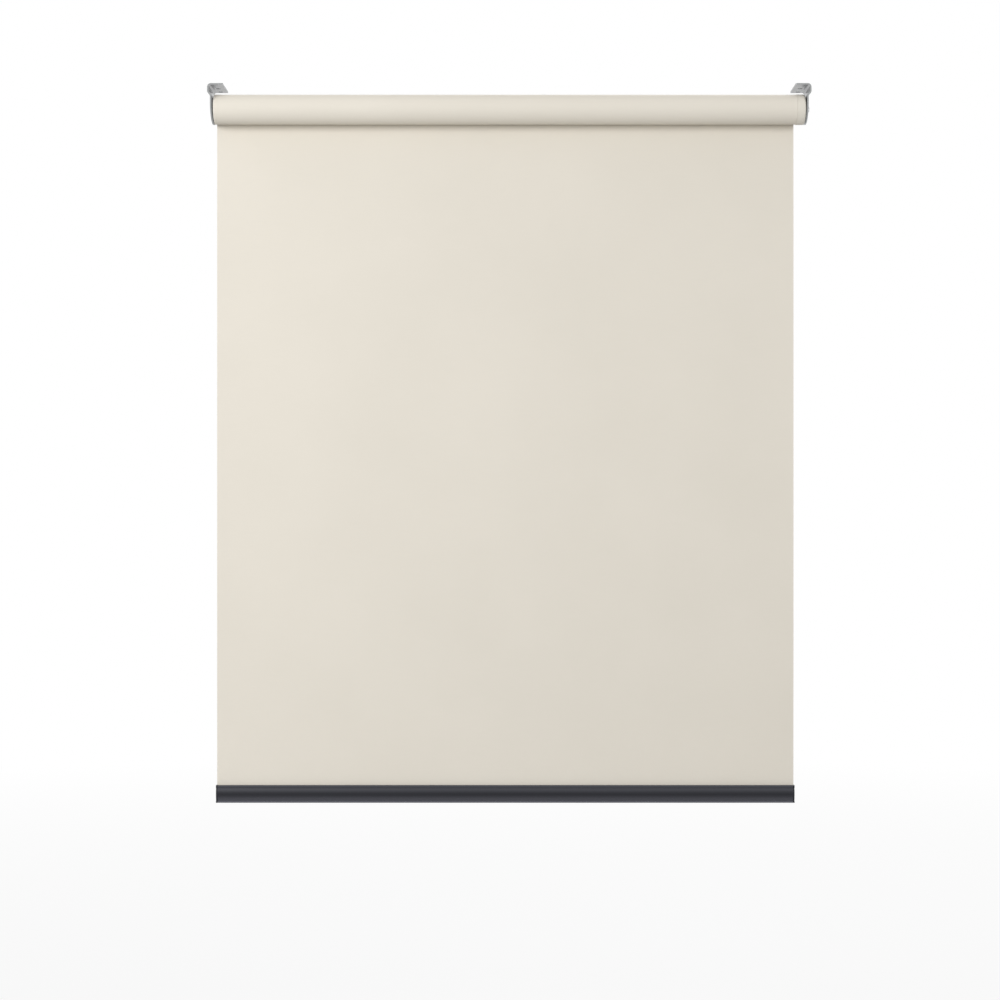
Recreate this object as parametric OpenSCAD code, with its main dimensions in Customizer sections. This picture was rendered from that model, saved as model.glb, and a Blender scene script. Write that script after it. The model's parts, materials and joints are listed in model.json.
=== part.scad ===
// Cordless roller blind with a blackout fabric, two joggled steel brackets and a weighted bottom bar.
// Millimetres. X runs along the roller, -Y faces the room, +Z is up.
// The origin is the centre of the four screw holes, on the plane that the brackets are fixed to.

/* [Blind] */
// Width over both brackets
overall_w = 600; // [480:1:900]
// Drop from the fixing plane to the underside of the bottom bar
overall_drop = 718; // [500:1:1200]
// Depth of the roller's axis below the fixing plane
axis_drop = 23.5; // [23:0.5:26]

/* [Brackets] */
// Thickness of the bracket steel
bracket_t = 1.5; // [1.2:0.1:1.8]
// Depth of the bracket from front to back
bracket_d = 40; // [38:0.5:44]
// Height of the bracket plate
plate_h = 37.5; // [36.5:0.5:44]
// Distance of the bracket's front edge in front of the roller's axis
bracket_front = 15; // [14:0.5:16]
// Width of the fixing flange
flange_w = 15.5; // [14.5:0.5:18]
// Corner radius of the fixing flange
flange_corner_r = 1; // [0.5:0.5:3]
// Inside radius of the flange bend
bend_r = 2.2; // [0.8:0.2:2.6]
// Sideways step between the top of the bracket and its plate
joggle_set = 2.8; // [2.2:0.1:3.2]
// Height below the fixing plane at which the step begins
joggle_drop = 7.5; // [5:0.5:8]
// Radius of a screw hole
screw_hole_r = 2.2; // [1.8:0.1:2.5]
// Distance between the two screw holes of one bracket, as a share of its depth
screw_pitch_share = 0.4; // [0.35:0.01:0.42]
// Distance of the screw line from the bracket's back edge
screw_back = 13; // [12:0.5:14]
// Distance of the screw holes from the bracket's outer side
screw_inset = 8.5; // [8:0.5:9]

/* [Fabric] */
// Thickness of the blackout fabric
fabric_t = 0.45; // [0.3:0.05:0.6]
// Air between two turns on the roller
turn_gap = 0.05; // [0.03:0.01:0.1]
// Whole turns that stay on the tube when the blind is down
turns_left = 1; // [1:1:3]
// Space between the fabric's edge and the plate at the pin end
pin_end_gap = 1.4; // [1.2:0.1:3]
// Space between the fabric's edge and the plate at the spring end
spring_end_gap = 9.5; // [8.5:0.5:14]

/* [Roller tube] */
// Outside diameter of the aluminium tube
tube_d = 28; // [27.6:0.2:29]
// Wall of the tube
tube_wall = 1.2; // [1:0.1:1.3]
// Diameter of the strip that locks the fabric in the tube
tube_strip_d = 3.8; // [3.4:0.1:4]
// Width of that strip's neck
tube_neck_w = 0.9; // [0.6:0.1:1]

/* [Pin end] */
// Length of the plug behind the pressed pin
plug_spare = 3; // [2:0.5:8]
// Thickness of the plug's flange
plug_flange_t = 1; // [0.8:0.1:1.4]
// Radius of the pin's nose
pin_r = 2.5; // [2:0.1:2.8]
// Length of the nose that stands out of the bracket plate
pin_out = 1.6; // [1:0.1:2.2]
// Radius of the pin's collar
pin_collar_r = 3.8; // [3.6:0.1:4.2]
// Length of the pin's collar
pin_collar_len = 2.5; // [2:0.5:3]
// Radius of the pin's tail
pin_tail_r = 1.8; // [1.6:0.1:2]
// Travel of the pin when it is pressed in
pin_travel = 5; // [4.5:0.5:6]
// Length of the pressed spring's space behind the collar
pin_spring_len = 16; // [14:0.5:18]
// Wire diameter of the pin spring
pin_wire_d = 0.7; // [0.5:0.1:0.8]
// Turns of the pin spring
pin_spring_turns = 7; // [5:1:8]

/* [Spring end] */
// Space between the cap and the bracket plate
cap_gap = 0.7; // [0.6:0.1:1]
// Rounding of the cap's outer edge
cap_round = 2; // [1:0.5:2.5]
// Wall of the cap
cap_wall = 1.8; // [1.4:0.1:2.2]
// Length of the cap's stem inside the tube
stem_len = 32; // [30:1:40]
// Ribs inside the cap
cap_ribs = 6; // [4:1:8]
// Radius of the fixed shaft
shaft_r = 3; // [2.8:0.1:3.2]
// Height across the flats of the shaft's tenon
tenon_h = 4.6; // [4:0.1:5]
// Length of the tenon that stands out of the bracket plate
tenon_out = 2.4; // [1.6:0.1:2.6]
// Radius of the bush between the cap and the shaft
bush_r = 5; // [4.6:0.1:5.4]
// Length of that bush
bush_len = 11; // [9:0.5:12]
// Radius of the brake drum on the shaft
drum_r = 5.9; // [5.6:0.1:6]
// Wire diameter of the brake spring
brake_wire_d = 1; // [0.8:0.1:1.1]
// Turns of the brake spring
brake_turns = 10; // [8:1:11]

/* [Lift spring] */
// Length of the lift spring
lift_len = 168; // [120:1:200]
// Inside radius of the lift spring
lift_in_r = 4.5; // [4.3:0.1:4.8]
// Wire diameter of the lift spring
lift_wire_d = 1.4; // [1:0.1:1.6]
// Turns of the lift spring
lift_turns = 30; // [20:1:34]
// Thickness of the plug that carries the turning end of the lift spring
follower_len = 18; // [14:1:24]
// Length of the bosses that the lift spring is wound on to
boss_len = 12; // [8:1:14]

/* [Bottom bar] */
// Height of the bar
bar_h = 17.5; // [17:0.5:22]
// Depth of the bar from front to back
bar_d = 9; // [8.6:0.2:11]
// Wall of the bar
bar_wall = 1.2; // [1:0.1:1.4]
// Depth of the two front lips in front of the bar's body
lip_d = 1.2; // [0.8:0.1:1.4]
// Height of the upper lip
top_lip_h = 2.4; // [2:0.1:3]
// Height of the lower lip
low_lip_h = 1.8; // [1.4:0.1:2.4]
// Width of the grooves between the lips and the crowned front
lip_groove = 0.5; // [0.4:0.1:0.8]
// Crown of the bar's front
front_crown = 1; // [0.6:0.1:1.2]
// Diameter of the strip on the fabric's lower edge
hem_strip_d = 3.8; // [3.4:0.1:4]
// Thickness of an end cap
bar_cap_t = 1.6; // [1.2:0.1:2.2]
// Length that the end caps stand out past the fabric
bar_overhang = 0.6; // [0.4:0.1:1]
// Length of an end cap's tongue in the bar
tongue_len = 10; // [6:1:16]

/* [Hidden] */
$fn = 96;

// Overrun of every cut
cut = 1;
// Gap of a running fit, measured on the radius
run_gap = 0.05;
// Gap between fixed pieces that are pushed together
seat_gap = 0.1;
// Gap that soft pieces keep from what moves past them
soft_gap = 0.3;

// Places along the roller
plate_out_x = overall_w / 2 - joggle_set;
plate_in_x = plate_out_x - bracket_t;
fabric_x0 = -plate_in_x + pin_end_gap;
fabric_x1 = plate_in_x - spring_end_gap;
axis_y = bracket_front + screw_back - bracket_d;
axis_z = -axis_drop;

// Bracket
bracket_y0 = axis_y - bracket_front;
joggle_angle = 60;
joggle_r = joggle_set / (2 * (1 - cos(joggle_angle)));
joggle_h = 2 * joggle_r * sin(joggle_angle);
screw_x = overall_w / 2 - screw_inset;
screw_pitch = bracket_d * screw_pitch_share;

// Roller
tube_r = tube_d / 2;
tube_in_r = tube_r - tube_wall;
strip_gap = 0.2;
strip_seat_r = tube_strip_d / 2 + strip_gap;
strip_at_r = tube_in_r - strip_seat_r;
strip_boss_r = strip_seat_r + tube_wall;
mouth_w = tube_neck_w + 2 * strip_gap;
turn_pitch = fabric_t + turn_gap;
roll_r = tube_r + (turns_left + 1) * turn_pitch;
turn_line_w = 0.12;
turn_line_depth = 0.5;

// Pin end
plug_r = tube_in_r - seat_gap;
tube_x0 = fabric_x0 + plug_flange_t;
pin_tip_x = -plate_out_x - pin_out;
pin_tip_round = pin_r / 2;
collar_x0 = fabric_x0 + plug_flange_t;
collar_x1 = collar_x0 + pin_collar_len;
web_x0 = collar_x1 + pin_spring_len;
web_t = 3;
clip_t = 0.8;
clip_gap = 0.1;
clip_neck_share = 0.7;
clip_r_share = 1.9;
clip_mouth_share = 1.1;
pin_clip_x0 = web_x0 + web_t + clip_gap;
pin_neck_r = pin_tail_r * clip_neck_share;
pin_end_x = pin_clip_x0 + 2 * clip_t;
plug_x1 = pin_end_x + pin_travel + plug_spare;
pin_bore_r = pin_collar_r + run_gap;
pin_spring_steps = 14;

// Stems that fit the tube
stem_ribs = 8;
stem_rib_h = 1.2;
stem_rib_w = 2.4;
rib_turn_share = 0.5;

// Spring end
cap_x0 = fabric_x1 + seat_gap;
cap_x1 = plate_in_x - cap_gap;
cap_floor_t = 2;
stem_x0 = cap_x0 - stem_len;
collar_t = cap_gap - soft_gap;
shaft_collar_r = shaft_r + shaft_r / 2;
bush_flange_t = 1;
bush_flange_r = bush_r + bush_flange_t;
bush_x1 = cap_x1;
bush_x0 = bush_x1 - bush_len;
hub_wall = 1.6;
brake_steps = 16;
flare_share = 0.0625;
brake_mean_r = (drum_r + run_gap) / cos(180 / brake_steps) + brake_wire_d / 2;
brake_room_r = brake_mean_r + brake_wire_d / 2 + soft_gap;
brake_tang_r = brake_room_r + brake_wire_d;
drum_x1 = bush_x0 - soft_gap;
drum_x0 = stem_x0 + brake_wire_d;
brake_len = drum_x1 - drum_x0 - 2 * brake_wire_d;

// Lift spring
anchor_gap = 0.3;
anchor_collar_t = 5;
anchor_collar_r = lift_in_r + 2 * lift_wire_d;
anchor_x1 = stem_x0 - anchor_gap;
anchor_x0 = anchor_x1 - anchor_collar_t;
lift_steps = 12;
lift_mean_r = lift_in_r + lift_wire_d / 2;
boss_r = lift_in_r * cos(180 / lift_steps) - run_gap;
lift_x1 = anchor_x0 - seat_gap;
lift_x0 = lift_x1 - lift_len;
follower_x1 = lift_x0 - seat_gap;
follower_x0 = follower_x1 - follower_len;
anchor_pin_r = 1;
washer_t = 1;
washer_x0 = follower_x0 - seat_gap - washer_t;
shaft_clip_x0 = washer_x0 - clip_gap - clip_t;
shaft_x0 = shaft_clip_x0 - 2 * clip_t;
shaft_neck_r = shaft_r * clip_neck_share;

// Bottom bar
bar_y = axis_y + roll_r - fabric_t / 2;
bar_z0 = -overall_drop;
bar_x0 = fabric_x0 - bar_overhang + bar_cap_t;
bar_x1 = fabric_x1 + bar_overhang - bar_cap_t;
bar_corner_r = 1.5;
lip_round = lip_groove;
hem_seat_r = hem_strip_d / 2 + soft_gap;
hem_z = bar_h - 2 * bar_wall - hem_seat_r;
hem_flat = hem_strip_d / 3;
slot_w = fabric_t + 2 * soft_gap;
room_z1 = hem_z - hem_seat_r - bar_wall;
room_y0 = -bar_d / 2 + lip_d + bar_wall;
room_y1 = bar_d / 2 - bar_wall;

// Colours
zinc = [0.80, 0.81, 0.80];
alloy = [0.74, 0.75, 0.77];
steel = [0.62, 0.63, 0.65];
cream = [0.89, 0.87, 0.82];
white = [0.93, 0.93, 0.91];
anthracite = [0.22, 0.22, 0.25];

// Sets a section, drawn with its own x to the back and y up, on the roller's axis from x0 onwards
module on_axis(x0) {
    translate([x0, axis_y, axis_z]) rotate([90, 0, 90]) children();
}

// A round bar on the roller's axis
module rod(x0, x1, r) {
    on_axis(x0) cylinder(r = r, h = x1 - x0);
}

// A flat ring sector of sheet, from angle a0 to a1, of inside radius r and thickness t
module bend(r, t, a0, a1) {
    reach = 2 * (r + t);
    mid = (a0 + a1) / 2;
    intersection() {
        difference() {
            circle(r = r + t);
            circle(r = r);
        }
        polygon([[0, 0], for (a = [a0, mid, a1]) reach * [cos(a), sin(a)]]);
    }
}

// A rectangle with round corners, from its lower corner
module round_rect(size, r) {
    translate([r, 0]) square([size.x - 2 * r, size.y]);
    translate([0, r]) square([size.x, size.y - 2 * r]);
    for (x = [r, size.x - r], y = [r, size.y - r]) translate([x, y]) circle(r = r);
}

// Points of one ring of a coil's wire, round the place that lies a degrees round and x along the coil
function coil_ring(x, r, a, wire_r, sides) =
    [for (k = [0 : sides - 1])
        let (b = 360 * k / sides, out = r + wire_r * cos(b))
        [x + wire_r * sin(b), out * cos(a), out * sin(a)]];

// A coil of round wire along the roller's axis, from x0. Its wire ends at the angle end_a,
// and over the flare's share of its last turn it runs outwards by flare.
module coil(x0, len, r, wire_d, turns, steps, end_a = 0, flare = 0) {
    sides = 6;
    rings = turns * steps;
    run = len - wire_d;
    points = [for (i = [0 : rings])
        let (tail = max(0, 1 - (rings - i) / (steps * flare_share)), a = end_a + 360 * (i - rings) / steps)
        each coil_ring(run * i / rings, r + flare * tail, a, wire_d / 2, sides)];
    walls = [for (i = [0 : rings - 1], k = [0 : sides - 1])
        let (n = (k + 1) % sides)
        [i * sides + k, i * sides + n, (i + 1) * sides + n, (i + 1) * sides + k]];
    ends = [
        [for (k = [sides - 1 : -1 : 0]) k],
        [for (k = [0 : sides - 1]) rings * sides + k]
    ];
    translate([x0 + wire_d / 2, axis_y, axis_z]) polyhedron(points, concat(walls, ends), convexity = 10);
}

// Section of the bent strip of one bracket, drawn with x away from the blind's middle and y up
module bracket_strip() {
    outer = overall_w / 2;
    bend_x = outer - bracket_t - bend_r;
    bend_y = -bracket_t - bend_r;
    step_y = -joggle_drop - joggle_h;
    strip_r = joggle_r - bracket_t / 2;
    translate([outer - flange_w, -bracket_t]) square([flange_w - bracket_t - bend_r, bracket_t]);
    translate([bend_x, bend_y]) bend(bend_r, bracket_t, 0, 90);
    translate([outer - bracket_t, -joggle_drop]) square([bracket_t, joggle_drop + bend_y]);
    translate([outer - bracket_t / 2 - joggle_r, -joggle_drop])
        bend(strip_r, bracket_t, -joggle_angle, 0);
    translate([plate_out_x - bracket_t / 2 + joggle_r, step_y])
        bend(strip_r, bracket_t, 180 - joggle_angle, 180);
    translate([plate_in_x, -plate_h]) square([bracket_t, plate_h + step_y]);
}

// Outline of the bracket seen from its end: straight sides and a round foot
module bracket_side() {
    foot_r = bracket_d / 2;
    translate([bracket_y0, -plate_h + foot_r]) square([bracket_d, plate_h - foot_r + cut]);
    translate([bracket_y0 + foot_r, -plate_h + foot_r]) circle(r = foot_r);
}

// Outline of the bracket seen from above: the flange's two free corners are round
module bracket_plan() {
    outer = overall_w / 2;
    x0 = outer - flange_w;
    translate([x0 + flange_corner_r, bracket_y0]) square([flange_w - flange_corner_r + cut, bracket_d]);
    translate([x0, bracket_y0 + flange_corner_r])
        square([flange_w, bracket_d - 2 * flange_corner_r]);
    for (y = [flange_corner_r, bracket_d - flange_corner_r])
        translate([x0 + flange_corner_r, bracket_y0 + y]) circle(r = flange_corner_r);
}

// The right bracket before its roller seat is cut
module bracket_blank() {
    difference() {
        intersection() {
            translate([0, bracket_y0 + bracket_d, 0]) rotate([90, 0, 0])
                linear_extrude(height = bracket_d) bracket_strip();
            rotate([90, 0, 90]) linear_extrude(height = overall_w) bracket_side();
            translate([0, 0, -plate_h - cut]) linear_extrude(height = plate_h + 2 * cut) bracket_plan();
        }
        for (y = [-screw_pitch / 2, screw_pitch / 2])
            translate([screw_x, y, -bracket_t - cut]) cylinder(r = screw_hole_r, h = bracket_t + 2 * cut);
    }
}

module left_bracket() {
    color(zinc) difference() {
        mirror([1, 0, 0]) bracket_blank();
        rod(-plate_out_x - cut, -plate_in_x + cut, pin_r + run_gap);
    }
}

module right_bracket() {
    color(zinc) difference() {
        bracket_blank();
        on_axis(plate_in_x - cut) linear_extrude(height = bracket_t + 2 * cut) tenon_section(run_gap);
    }
}

// Section of the shaft's tenon, a round with two flats, grown by a gap
module tenon_section(gap) {
    r = shaft_r + gap;
    flats = tenon_h + 2 * gap;
    intersection() {
        circle(r = r);
        translate([-r - cut, -flats / 2]) square([2 * (r + cut), flats]);
    }
}

// Room that plugs leave for the tube's inner boss
module boss_room() {
    gap = 2 * seat_gap;
    room_r = strip_boss_r + gap;
    translate([strip_at_r, 0]) circle(r = room_r);
    translate([strip_at_r, -room_r]) square([tube_r - strip_at_r + cut, 2 * room_r]);
}

module roller_tube() {
    color(alloy) on_axis(tube_x0) linear_extrude(height = fabric_x1 - tube_x0) difference() {
        union() {
            difference() {
                circle(r = tube_r);
                circle(r = tube_in_r);
            }
            intersection() {
                circle(r = tube_in_r + tube_wall / 2);
                translate([strip_at_r, 0]) circle(r = strip_boss_r);
            }
        }
        translate([strip_at_r, 0]) circle(r = strip_seat_r);
        translate([strip_at_r, -mouth_w / 2]) square([tube_r - strip_at_r + cut, mouth_w]);
    }
}

module tube_strip() {
    color(white) on_axis(tube_x0) linear_extrude(height = fabric_x1 - tube_x0) intersection() {
        union() {
            translate([strip_at_r, 0]) circle(r = tube_strip_d / 2);
            translate([strip_at_r, -tube_neck_w / 2]) square([tube_r - strip_at_r, tube_neck_w]);
        }
        circle(r = tube_r);
    }
}

// Half of a disc, above or below the axis
module half_disc(r, upper) {
    intersection() {
        circle(r = r);
        translate([-r - cut, upper ? 0 : -r - cut]) square([2 * (r + cut), r + cut]);
    }
}

// Outline of the wound fabric after a number of turns, from two half rounds with shifted centres
module turn_outline(turns, offset) {
    shift = turn_pitch / 4;
    r = roll_r - turns * turn_pitch + offset;
    translate([shift, 0]) half_disc(r - shift, true);
    translate([-shift, 0]) half_disc(r - 3 * shift, false);
}

// The fine line that each turn shows on the end of the roll
module turn_lines() {
    for (k = [1 : turns_left]) intersection() {
        difference() {
            turn_outline(k, turn_line_w / 2);
            turn_outline(k, -turn_line_w / 2);
        }
        translate([-roll_r, 0]) square([2 * roll_r, roll_r]);
    }
}

module fabric_roll() {
    color(cream) difference() {
        on_axis(fabric_x0) linear_extrude(height = fabric_x1 - fabric_x0) difference() {
            turn_outline(0, 0);
            circle(r = tube_r + turn_gap);
        }
        for (x = [fabric_x0 - cut, fabric_x1 - turn_line_depth])
            on_axis(x) linear_extrude(height = turn_line_depth + cut) turn_lines();
    }
}

module fabric_drop() {
    z0 = bar_z0 + hem_z + hem_flat;
    color(cream) translate([fabric_x0, axis_y + roll_r - fabric_t, z0])
        cube([fabric_x1 - fabric_x0, fabric_t, axis_z - z0]);
}

module pin_plug() {
    color(white) difference() {
        union() {
            rod(fabric_x0, tube_x0, tube_r);
            tube_stem(tube_x0, plug_x1);
        }
        rod(fabric_x0 - cut, web_x0, pin_bore_r);
        rod(web_x0 - cut, web_x0 + web_t + cut, pin_tail_r + run_gap);
        rod(web_x0 + web_t, plug_x1 + cut, pin_bore_r);
    }
}

module pin() {
    color(steel) union() {
        rod(pin_tip_x + pin_tip_round, collar_x0, pin_r);
        on_axis(pin_tip_x) cylinder(r1 = pin_r - pin_tip_round, r2 = pin_r, h = pin_tip_round);
        rod(collar_x0, collar_x1, pin_collar_r);
        rod(collar_x1, pin_clip_x0, pin_tail_r);
        rod(pin_clip_x0, pin_clip_x0 + clip_t, pin_neck_r);
        rod(pin_clip_x0 + clip_t, pin_end_x, pin_tail_r);
    }
}

module pin_spring() {
    mean_r = (pin_tail_r + pin_collar_r) / 2;
    color(steel) coil(collar_x1 + seat_gap, pin_spring_len - 2 * seat_gap, mean_r,
        pin_wire_d, pin_spring_turns, pin_spring_steps);
}

// A spring clip, open on one side, on a neck of radius neck_r
module clip(x0, neck_r, shaft_r_here) {
    out_r = shaft_r_here * clip_r_share;
    mouth = neck_r * clip_mouth_share;
    on_axis(x0) linear_extrude(height = clip_t) difference() {
        circle(r = out_r);
        circle(r = neck_r + run_gap);
        translate([-mouth, -out_r - cut]) square([2 * mouth, out_r + cut]);
    }
}

module pin_clip() {
    color(steel) clip(pin_clip_x0, pin_neck_r, pin_tail_r);
}

module shaft() {
    color(steel) union() {
        rod(shaft_x0, shaft_clip_x0, shaft_r);
        rod(shaft_clip_x0, shaft_clip_x0 + clip_t, shaft_neck_r);
        difference() {
            rod(shaft_clip_x0 + clip_t, plate_in_x, shaft_r);
            anchor_hole();
        }
        rod(plate_in_x - collar_t, plate_in_x, shaft_collar_r);
        on_axis(plate_in_x) linear_extrude(height = bracket_t + tenon_out) tenon_section(0);
    }
}

// The cross hole of the lift spring's anchor
module anchor_hole() {
    h = 2 * (anchor_collar_r + cut);
    translate([(anchor_x0 + anchor_x1) / 2, axis_y, axis_z - h / 2])
        cylinder(r = anchor_pin_r + run_gap, h = h);
}

// Room between a hub and a rim, from x0 onwards, with ribs left standing across it
module ribbed_room(x0, len, hub_r, rim_r, ribs, rib_t) {
    on_axis(x0) linear_extrude(height = len) difference() {
        circle(r = rim_r);
        circle(r = hub_r);
        for (k = [1 : ribs])
            rotate(360 * (k - rib_turn_share) / ribs)
                translate([0, -rib_t / 2]) square([rim_r + cut, rib_t]);
    }
}

// A moulded stem that fits the tube by lengthwise ribs and straddles the tube's inner boss
module tube_stem(x0, x1) {
    on_axis(x0) linear_extrude(height = x1 - x0) difference() {
        union() {
            circle(r = plug_r - stem_rib_h);
            intersection() {
                circle(r = plug_r);
                for (k = [1 : stem_ribs - 1])
                    rotate(360 * k / stem_ribs)
                        translate([0, -stem_rib_w / 2]) square([plug_r + cut, stem_rib_w]);
            }
        }
        boss_room();
    }
}

// Half section of the cap's rim, drawn with x as the radius and y along the roller
module cap_rim_section() {
    w = cap_x1 - cap_x0;
    square([roll_r, w - cap_round]);
    square([roll_r - cap_round, w]);
    translate([roll_r - cap_round, w - cap_round]) circle(r = cap_round);
}

module spring_cap() {
    w = cap_x1 - cap_x0;
    hub_r = bush_flange_r + hub_wall;
    color(cream) difference() {
        union() {
            difference() {
                on_axis(cap_x0) rotate_extrude() cap_rim_section();
                ribbed_room(cap_x0 + cap_floor_t, w, hub_r, roll_r - cap_wall, cap_ribs, hub_wall);
            }
            tube_stem(stem_x0, cap_x0);
        }
        rod(stem_x0 - cut, drum_x1 + seat_gap, brake_room_r);
        on_axis(stem_x0 - cut) translate([-brake_tang_r - soft_gap, -brake_wire_d, 0])
            cube([brake_tang_r, 4 * brake_wire_d, drum_x1 - stem_x0 + cut]);
        rod(stem_x0 - cut, cap_x1 + cut, shaft_r + run_gap);
        rod(bush_x0 - soft_gap, cap_x1 + cut, bush_r + run_gap);
        rod(cap_x1 - bush_flange_t, cap_x1 + cut, bush_flange_r + run_gap);
    }
}

module cap_bush() {
    color(white) difference() {
        union() {
            rod(bush_x0, bush_x1, bush_r);
            rod(bush_x1 - bush_flange_t + run_gap, bush_x1, bush_flange_r);
        }
        rod(bush_x0 - cut, bush_x1 + cut, shaft_r + run_gap);
    }
}

module brake_drum() {
    color(steel) difference() {
        rod(drum_x0 + seat_gap, drum_x1 - seat_gap, drum_r);
        rod(drum_x0 - cut, drum_x1 + cut, shaft_r + run_gap);
    }
}

module brake_spring() {
    flare = brake_tang_r - brake_mean_r - brake_wire_d / 2;
    color(steel) coil(drum_x0 + brake_wire_d, brake_len, brake_mean_r, brake_wire_d,
        brake_turns, brake_steps, 180, flare);
}

module lift_anchor() {
    color(white) difference() {
        union() {
            rod(anchor_x0, anchor_x1, anchor_collar_r);
            rod(anchor_x0 - boss_len, anchor_x0, boss_r);
        }
        rod(anchor_x0 - boss_len - cut, anchor_x1 + cut, shaft_r + run_gap);
        anchor_hole();
    }
}

module anchor_pin() {
    h = 2 * (anchor_collar_r - seat_gap);
    color(steel) translate([(anchor_x0 + anchor_x1) / 2, axis_y, axis_z - h / 2])
        cylinder(r = anchor_pin_r, h = h);
}

module lift_spring() {
    color(steel) coil(lift_x0, lift_len, lift_mean_r, lift_wire_d, lift_turns, lift_steps);
}

module lift_follower() {
    color(white) difference() {
        union() {
            tube_stem(follower_x0, follower_x1);
            rod(follower_x1, follower_x1 + boss_len, boss_r);
        }
        rod(follower_x0 - cut, follower_x1 + boss_len + cut, shaft_r + run_gap);
    }
}

module shaft_washer() {
    color(steel) difference() {
        rod(washer_x0, washer_x0 + washer_t, anchor_collar_r);
        rod(washer_x0 - cut, washer_x0 + washer_t + cut, shaft_r + run_gap);
    }
}

module shaft_clip() {
    color(steel) clip(shaft_clip_x0, shaft_neck_r, shaft_r);
}

// Places a bar section, drawn from the bar's foot at the fabric's middle plane, from x0 onwards
module on_bar(x0) {
    translate([x0, bar_y, bar_z0]) rotate([90, 0, 90]) children();
}

// Outer section of the bar: a body with round back corners, two front lips and a crowned front
module bar_outline() {
    body_y = -bar_d / 2 + lip_d;
    front_z0 = low_lip_h + lip_groove;
    front_z1 = bar_h - top_lip_h - lip_groove;
    half = (front_z1 - front_z0) / 2;
    crown_r = (half * half + front_crown * front_crown) / (2 * front_crown);
    intersection() {
        translate([-bar_d / 2, 0]) round_rect([bar_d, bar_h], bar_corner_r);
        translate([body_y, 0]) square([bar_d, bar_h]);
    }
    for (lip = [[0, low_lip_h], [bar_h - top_lip_h, top_lip_h]])
        translate([-bar_d / 2, lip[0]]) round_rect([2 * lip_d, lip[1]], lip_round);
    intersection() {
        translate([body_y - front_crown + crown_r, (front_z0 + front_z1) / 2]) circle(r = crown_r);
        translate([-bar_d / 2, front_z0]) square([2 * lip_d, front_z1 - front_z0]);
    }
}

// The lower room of the bar, shrunk by a gap
module bar_room(gap) {
    translate([room_y0 + gap, bar_wall + gap])
        round_rect([room_y1 - room_y0 - 2 * gap, room_z1 - bar_wall - 2 * gap], bar_wall / 2);
}

// The slot that the fabric goes down
module bar_slot() {
    translate([-slot_w / 2, hem_z]) square([slot_w, bar_h - hem_z + cut]);
}

module bottom_bar() {
    color(anthracite) on_bar(bar_x0) linear_extrude(height = bar_x1 - bar_x0) difference() {
        bar_outline();
        bar_room(0);
        translate([0, hem_z]) circle(r = hem_seat_r);
        bar_slot();
    }
}

module hem_strip() {
    r = hem_strip_d / 2;
    color(white) on_bar(bar_x0) linear_extrude(height = bar_x1 - bar_x0) intersection() {
        translate([0, hem_z]) circle(r = r);
        translate([-r - cut, hem_z - r - cut]) square([2 * (r + cut), r + cut + hem_flat]);
    }
}

// One end cap of the bar, with its tongue running towards +X
module bar_cap() {
    linear_extrude(height = bar_cap_t) difference() {
        bar_outline();
        bar_slot();
    }
    linear_extrude(height = bar_cap_t + tongue_len) bar_room(seat_gap);
}

module left_bar_cap() {
    color(anthracite) on_bar(bar_x0 - bar_cap_t) bar_cap();
}

module right_bar_cap() {
    color(anthracite) on_bar(bar_x1 + bar_cap_t) mirror([0, 0, 1]) bar_cap();
}

left_bracket();
right_bracket();
roller_tube();
tube_strip();
fabric_roll();
fabric_drop();
pin_plug();
pin();
pin_spring();
pin_clip();
shaft();
spring_cap();
cap_bush();
brake_drum();
brake_spring();
lift_anchor();
anchor_pin();
lift_spring();
lift_follower();
shaft_washer();
shaft_clip();
bottom_bar();
hem_strip();
left_bar_cap();
right_bar_cap();
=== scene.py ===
"""Looks of a cordless blackout roller blind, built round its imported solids.

Lengths are in metres, in the frame of the solids: X runs along the roller, -Y faces
the room, and Z = 0 is the plane that the two brackets are screwed to.
"""

import json
import logging
import math
from dataclasses import dataclass, field
from enum import Enum
from functools import lru_cache
from typing import Any

import bpy
import numpy as np
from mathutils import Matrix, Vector
from numpy.typing import NDArray


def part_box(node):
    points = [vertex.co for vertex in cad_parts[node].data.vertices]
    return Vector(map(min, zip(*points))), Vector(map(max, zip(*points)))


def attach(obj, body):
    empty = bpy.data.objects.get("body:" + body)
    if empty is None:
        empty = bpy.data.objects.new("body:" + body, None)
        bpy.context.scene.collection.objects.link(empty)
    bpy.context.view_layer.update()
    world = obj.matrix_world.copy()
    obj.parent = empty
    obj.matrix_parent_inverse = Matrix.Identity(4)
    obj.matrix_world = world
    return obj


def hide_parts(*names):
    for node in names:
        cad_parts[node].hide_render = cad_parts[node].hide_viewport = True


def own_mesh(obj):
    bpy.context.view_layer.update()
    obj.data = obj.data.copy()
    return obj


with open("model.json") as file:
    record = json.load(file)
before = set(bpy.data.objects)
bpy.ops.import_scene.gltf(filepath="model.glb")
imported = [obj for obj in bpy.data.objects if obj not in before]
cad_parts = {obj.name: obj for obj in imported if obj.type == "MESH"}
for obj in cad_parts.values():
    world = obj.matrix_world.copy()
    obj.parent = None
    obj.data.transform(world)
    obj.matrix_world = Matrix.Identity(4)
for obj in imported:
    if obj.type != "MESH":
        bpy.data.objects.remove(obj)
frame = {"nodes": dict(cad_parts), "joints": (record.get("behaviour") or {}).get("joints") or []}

Reals = NDArray[np.float64]
Whole = NDArray[np.int64]
Colour = tuple[float, float, float]
Point = tuple[float, float, float]
Pair = tuple[float, float]
Socket = bpy.types.NodeSocket
Sockets = dict[str, Socket]
Value = Socket | float | tuple[float, ...]
WHITE = (1.0, 1.0, 1.0, 1.0)
log = logging.getLogger("blind")


class Body(Enum):
    """Bodies of the blind that a new piece can ride on."""

    BRACKETS = "brackets"
    ROLLER = "roller"


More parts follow.
